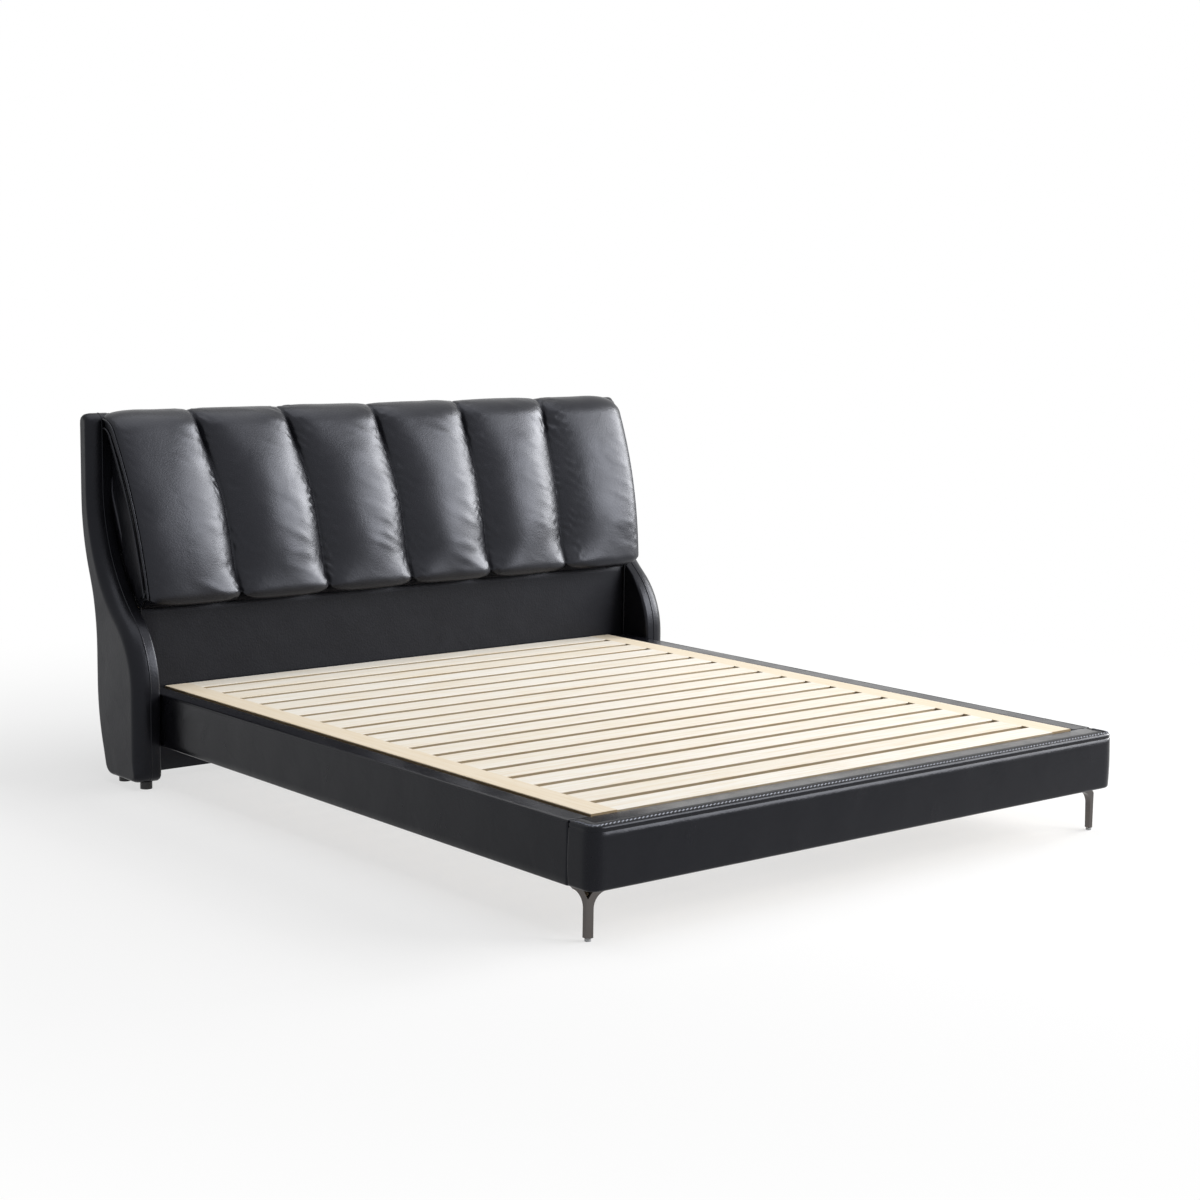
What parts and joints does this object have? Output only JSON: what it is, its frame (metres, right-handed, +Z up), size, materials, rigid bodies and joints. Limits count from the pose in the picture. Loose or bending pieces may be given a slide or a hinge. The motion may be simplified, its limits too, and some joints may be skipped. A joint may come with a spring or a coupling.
{
  "type": "upholstered platform bed",
  "caption": "Low leather-covered platform bed with a winged, channel-padded headboard, slim side rails, a foot rail on forked cast legs and a lift-out slatted base.",
  "frame": {"origin": "on the floor below the middle of the bed's box", "axes": "+X to the right seen from the foot, +Y towards the headboard, +Z up"},
  "size_m": [2.04, 2.345, 1.115],
  "materials": {
    "black_leather": "semi-gloss black leather with a fine grain, over foam",
    "pine": "planed pale pine, clear matt lacquer",
    "timber": "sawn softwood",
    "plywood": "raw plywood",
    "back_lining": "black lining cloth stretched on thin board",
    "gunmetal": "black-nickel plated casting, satin",
    "black_steel": "black powder coat",
    "zinc_steel": "bright zinc plate",
    "black_plastic": "moulded black plastic",
    "nylon": "milky moulded nylon"
  },
  "bodies": {
    "bed_frame": {"beam_hangers": "black_steel", "bracket_bolts": "zinc_steel", "centre_beam": "black_steel", "centre_legs": "black_steel", "corner_brackets": "zinc_steel", "foot_rail_core": "timber", "foot_rail_cover": "black_leather", "headboard_back_panel": "back_lining", "headboard_ribs": "plywood", "headboard_stretchers": "timber", "ledger_left": "timber", "ledger_right": "timber", "leg_glides": "nylon", "leg_left": "gunmetal", "leg_right": "gunmetal", "leg_screws": "zinc_steel", "lower_panel_board": "plywood", "lower_panel_cover": "black_leather", "pad_board": "plywood", "pad_channel_1": "black_leather", "pad_channel_2": "black_leather", "pad_channel_3": "black_leather", "pad_channel_4": "black_leather", "pad_channel_5": "black_leather", "pad_channel_6": "black_leather", "rail_core_left": "timber", "rail_core_right": "timber", "rail_cover_left": "black_leather", "rail_cover_right": "black_leather", "wing_bolts": "zinc_steel", "wing_core_left": "plywood", "wing_core_right": "plywood", "wing_cover_left": "black_leather", "wing_cover_right": "black_leather", "wing_feet": "black_plastic"},
    "slat_base": {"slat_01": "pine", "slat_02": "pine", "slat_03": "pine", "slat_04": "pine", "slat_05": "pine", "slat_06": "pine", "slat_07": "pine", "slat_08": "pine", "slat_09": "pine", "slat_10": "pine", "slat_11": "pine", "slat_12": "pine", "slat_13": "pine", "slat_14": "pine", "slat_15": "pine", "slat_16": "pine", "slat_17": "pine", "slat_18": "pine", "slat_19": "pine", "slat_stile_left": "pine", "slat_stile_right": "pine"}
  },
  "joints": [
    {"name": "base_lift", "type": "slide", "parent": "bed_frame", "child": "slat_base", "axis": [0, 0, 1], "range_m": [0, 0.15]}
  ]
}
